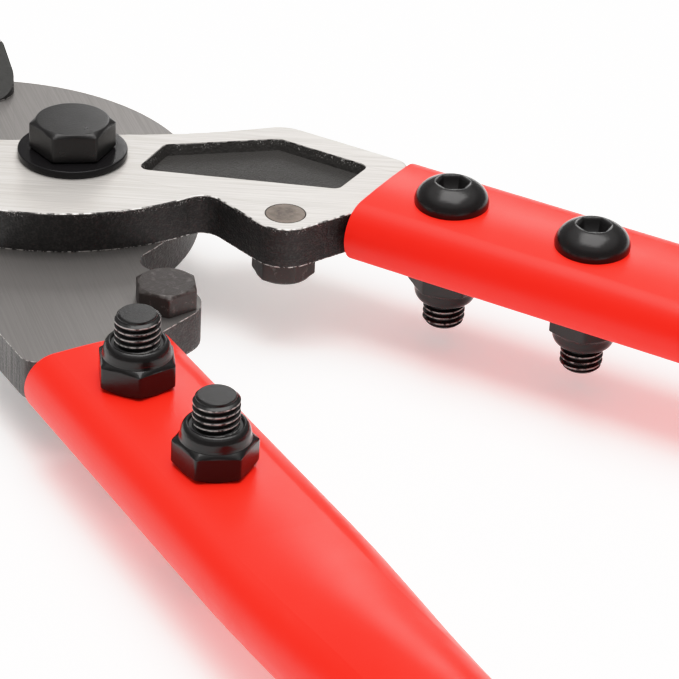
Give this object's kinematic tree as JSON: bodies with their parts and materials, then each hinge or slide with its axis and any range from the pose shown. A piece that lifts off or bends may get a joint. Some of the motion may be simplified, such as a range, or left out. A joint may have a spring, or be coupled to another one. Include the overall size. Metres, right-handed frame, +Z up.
{
  "type": "bypass cable cutter",
  "caption": "Long-handled cutter with two hooked steel jaws turning on a hex pivot bolt, stop bolts, and red tube handles bolted on with lock nuts.",
  "frame": {"origin": "where the pivot axis meets the surface the tool lies on, at the middle of the pivot bolt's lower end", "axes": "+Y along the closed jaws, away from the handles; +X to the side of the upper arm's handle; +Z up the pivot axis"},
  "size_m": [0.3714, 0.5932, 0.0499],
  "materials": {
    "jaw_steel_upper": "ground bright face with fine streaks, dark forged edges",
    "jaw_steel_lower": "brushed grey face with diagonal scratches, dark forged edges",
    "black_fastener": "black oxide, half gloss",
    "black_washer": "black, glossy",
    "stop_bolt": "brown-black oxide, worn",
    "nut_ring": "black nylon",
    "red_paint": "satin-gloss red powder coat",
    "grip_rubber": "moulded matt black rubber"
  },
  "bodies": {
    "lower_half": {"pivot_bolt": "black_fastener", "pivot_washer_top": "black_washer", "pivot_washer_bottom": "black_washer", "pivot_nut": "black_fastener", "pivot_nut_ring": "nut_ring", "lower_jaw_arm": "jaw_steel_lower", "lower_stop_bolt": "stop_bolt", "lower_handle_tube": "red_paint", "lower_grip": "grip_rubber", "lower_front_bolt": "black_fastener", "lower_front_nut": "black_fastener", "lower_front_nut_ring": "nut_ring", "lower_rear_bolt": "black_fastener", "lower_rear_nut": "black_fastener", "lower_rear_nut_ring": "nut_ring"},
    "upper_half": {"upper_jaw_arm": "jaw_steel_upper", "upper_stop_bolt": "stop_bolt", "upper_handle_tube": "red_paint", "upper_grip": "grip_rubber", "upper_front_bolt": "black_fastener", "upper_front_nut": "black_fastener", "upper_front_nut_ring": "nut_ring", "upper_rear_bolt": "black_fastener", "upper_rear_nut": "black_fastener", "upper_rear_nut_ring": "nut_ring"}
  },
  "joints": [
    {"name": "jaw_pivot", "type": "hinge", "parent": "lower_half", "child": "upper_half", "pos_m": [0, 0, 0.025], "axis": [0, 0, 1], "range_deg": [-21.5, 78]}
  ]
}
